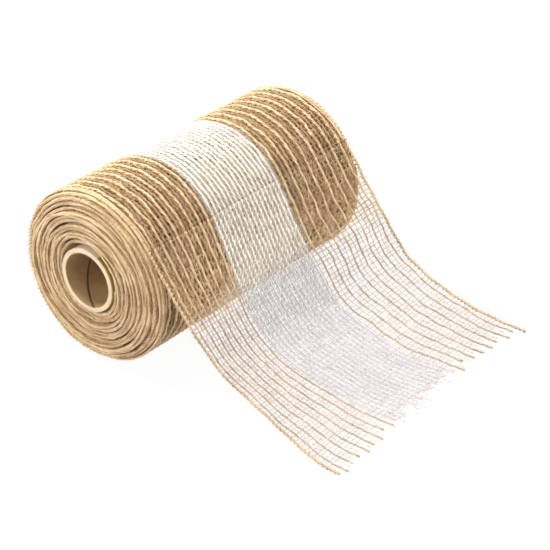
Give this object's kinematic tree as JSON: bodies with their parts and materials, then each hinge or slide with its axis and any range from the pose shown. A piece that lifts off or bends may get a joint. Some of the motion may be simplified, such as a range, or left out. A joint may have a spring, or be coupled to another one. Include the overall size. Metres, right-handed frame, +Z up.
{
  "type": "ribbon spool",
  "caption": "Open-weave jute gift ribbon with a white middle stripe, wound on a paper tube core, its fringed free end drawn down onto the table.",
  "frame": {"origin": "centre of the core's bore, halfway along the core", "axes": "+Y along the core's axis, towards the end that stands 1 mm proud of the ribbon; +Z up; the free end points to +X"},
  "size_m": [0.1828, 0.1506, 0.0866],
  "materials": {
    "core_liner_paper": "matt brown kraft",
    "core_board": "matt grey-cream board",
    "core_wrap_paper": "matt cream",
    "start_tape": "satin olive adhesive tape",
    "jute_yarn": "hairy natural jute",
    "white_yarn": "soft white cotton yarn",
    "weft_thread": "fine sheer thread"
  },
  "bodies": {
    "outer_lap": {"lap_near_selvedge": "jute_yarn", "lap_near_jute_band": "jute_yarn", "lap_white_band": "white_yarn", "lap_far_jute_band": "jute_yarn", "lap_far_selvedge": "jute_yarn"},
    "roll": {"core_liner_ply": "core_liner_paper", "core_board_tube": "core_board", "core_wrap_ply": "core_wrap_paper", "start_tape": "start_tape", "wound_near_selvedge": "jute_yarn", "wound_near_jute_band": "jute_yarn", "wound_white_band": "white_yarn", "wound_far_jute_band": "jute_yarn", "wound_far_selvedge": "jute_yarn"},
    "tail": {"tail_weft_net": "weft_thread", "tail_near_selvedge": "jute_yarn", "tail_far_selvedge": "jute_yarn", "tail_near_jute_yarn_1": "jute_yarn", "tail_near_jute_yarn_2": "jute_yarn", "tail_near_jute_yarn_3": "jute_yarn", "tail_near_jute_yarn_4": "jute_yarn", "tail_near_jute_yarn_5": "jute_yarn", "tail_near_jute_yarn_6": "jute_yarn", "tail_near_jute_yarn_7": "jute_yarn", "tail_near_jute_yarn_8": "jute_yarn", "tail_white_yarn_1": "white_yarn", "tail_white_yarn_2": "white_yarn", "tail_white_yarn_3": "white_yarn", "tail_white_yarn_4": "white_yarn", "tail_white_yarn_5": "white_yarn", "tail_white_yarn_6": "white_yarn", "tail_white_yarn_7": "white_yarn", "tail_white_yarn_8": "white_yarn", "tail_white_yarn_9": "white_yarn", "tail_white_yarn_10": "white_yarn", "tail_white_yarn_11": "white_yarn", "tail_white_yarn_12": "white_yarn", "tail_white_yarn_13": "white_yarn", "tail_white_yarn_14": "white_yarn", "tail_white_yarn_15": "white_yarn", "tail_white_yarn_16": "white_yarn", "tail_white_yarn_17": "white_yarn", "tail_far_jute_yarn_1": "jute_yarn", "tail_far_jute_yarn_2": "jute_yarn", "tail_far_jute_yarn_3": "jute_yarn", "tail_far_jute_yarn_4": "jute_yarn", "tail_far_jute_yarn_5": "jute_yarn", "tail_far_jute_yarn_6": "jute_yarn", "tail_far_jute_yarn_7": "jute_yarn", "tail_far_jute_yarn_8": "jute_yarn"}
  },
  "joints": [
    {"name": "roll_turn", "type": "hinge", "parent": "outer_lap", "child": "roll", "pos_m": [0, 0, 0], "axis": [0, 1, 0], "continuous": true},
    {"name": "tail_lift", "type": "hinge", "parent": "outer_lap", "child": "tail", "pos_m": [0.03499, 0, 0.02449], "axis": [0, -1, 0], "range_deg": [0, 75]}
  ]
}
